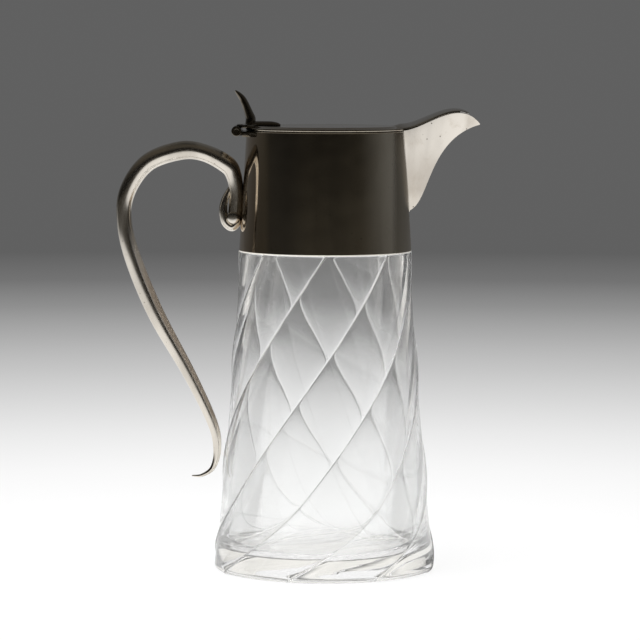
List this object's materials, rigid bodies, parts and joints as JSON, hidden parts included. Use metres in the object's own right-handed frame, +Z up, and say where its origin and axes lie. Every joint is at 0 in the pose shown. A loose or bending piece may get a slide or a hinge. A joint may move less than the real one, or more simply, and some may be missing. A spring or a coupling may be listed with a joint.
{
  "type": "claret_jug",
  "caption": "Claret jug with a spiral panelled glass body, silver-plated collar and spout, looped handle and a hinged lid with a thumbpiece",
  "frame": {"origin": "centre of the flat underside of the glass foot, on the axis of the body", "axes": "+Z up the axis of the body, +X towards the spout, -X towards the handle, +Y across"},
  "size_m": [0.1963, 0.1198, 0.2593],
  "materials": {
    "glass": "clear heavy glass, cut and polished",
    "silver_plate": "polished silver plate with fine wear and a little tarnish",
    "cement": "set plaster cement, matt"
  },
  "bodies": {
    "jug": {"glass_body": "glass", "cement_ring": "cement", "collar": "silver_plate", "rim_wire": "silver_plate", "spout": "silver_plate", "handle": "silver_plate", "handle_scroll": "silver_plate", "hinge_bearer": "silver_plate", "collar_knuckle_front": "silver_plate", "collar_knuckle_centre": "silver_plate", "collar_knuckle_rear": "silver_plate", "hinge_pin": "silver_plate"},
    "lid": {"lid_knuckle_front": "silver_plate", "lid_knuckle_rear": "silver_plate", "lid_bearer": "silver_plate", "lid_plate": "silver_plate", "lid_tongue": "silver_plate", "lid_flange": "silver_plate", "thumbpiece": "silver_plate"}
  },
  "joints": [
    {"name": "lid_hinge", "type": "hinge", "parent": "jug", "child": "lid", "pos_m": [-0.0477, 0, 0.2375], "axis": [0, -1, 0], "range_deg": [0, 101]}
  ]
}
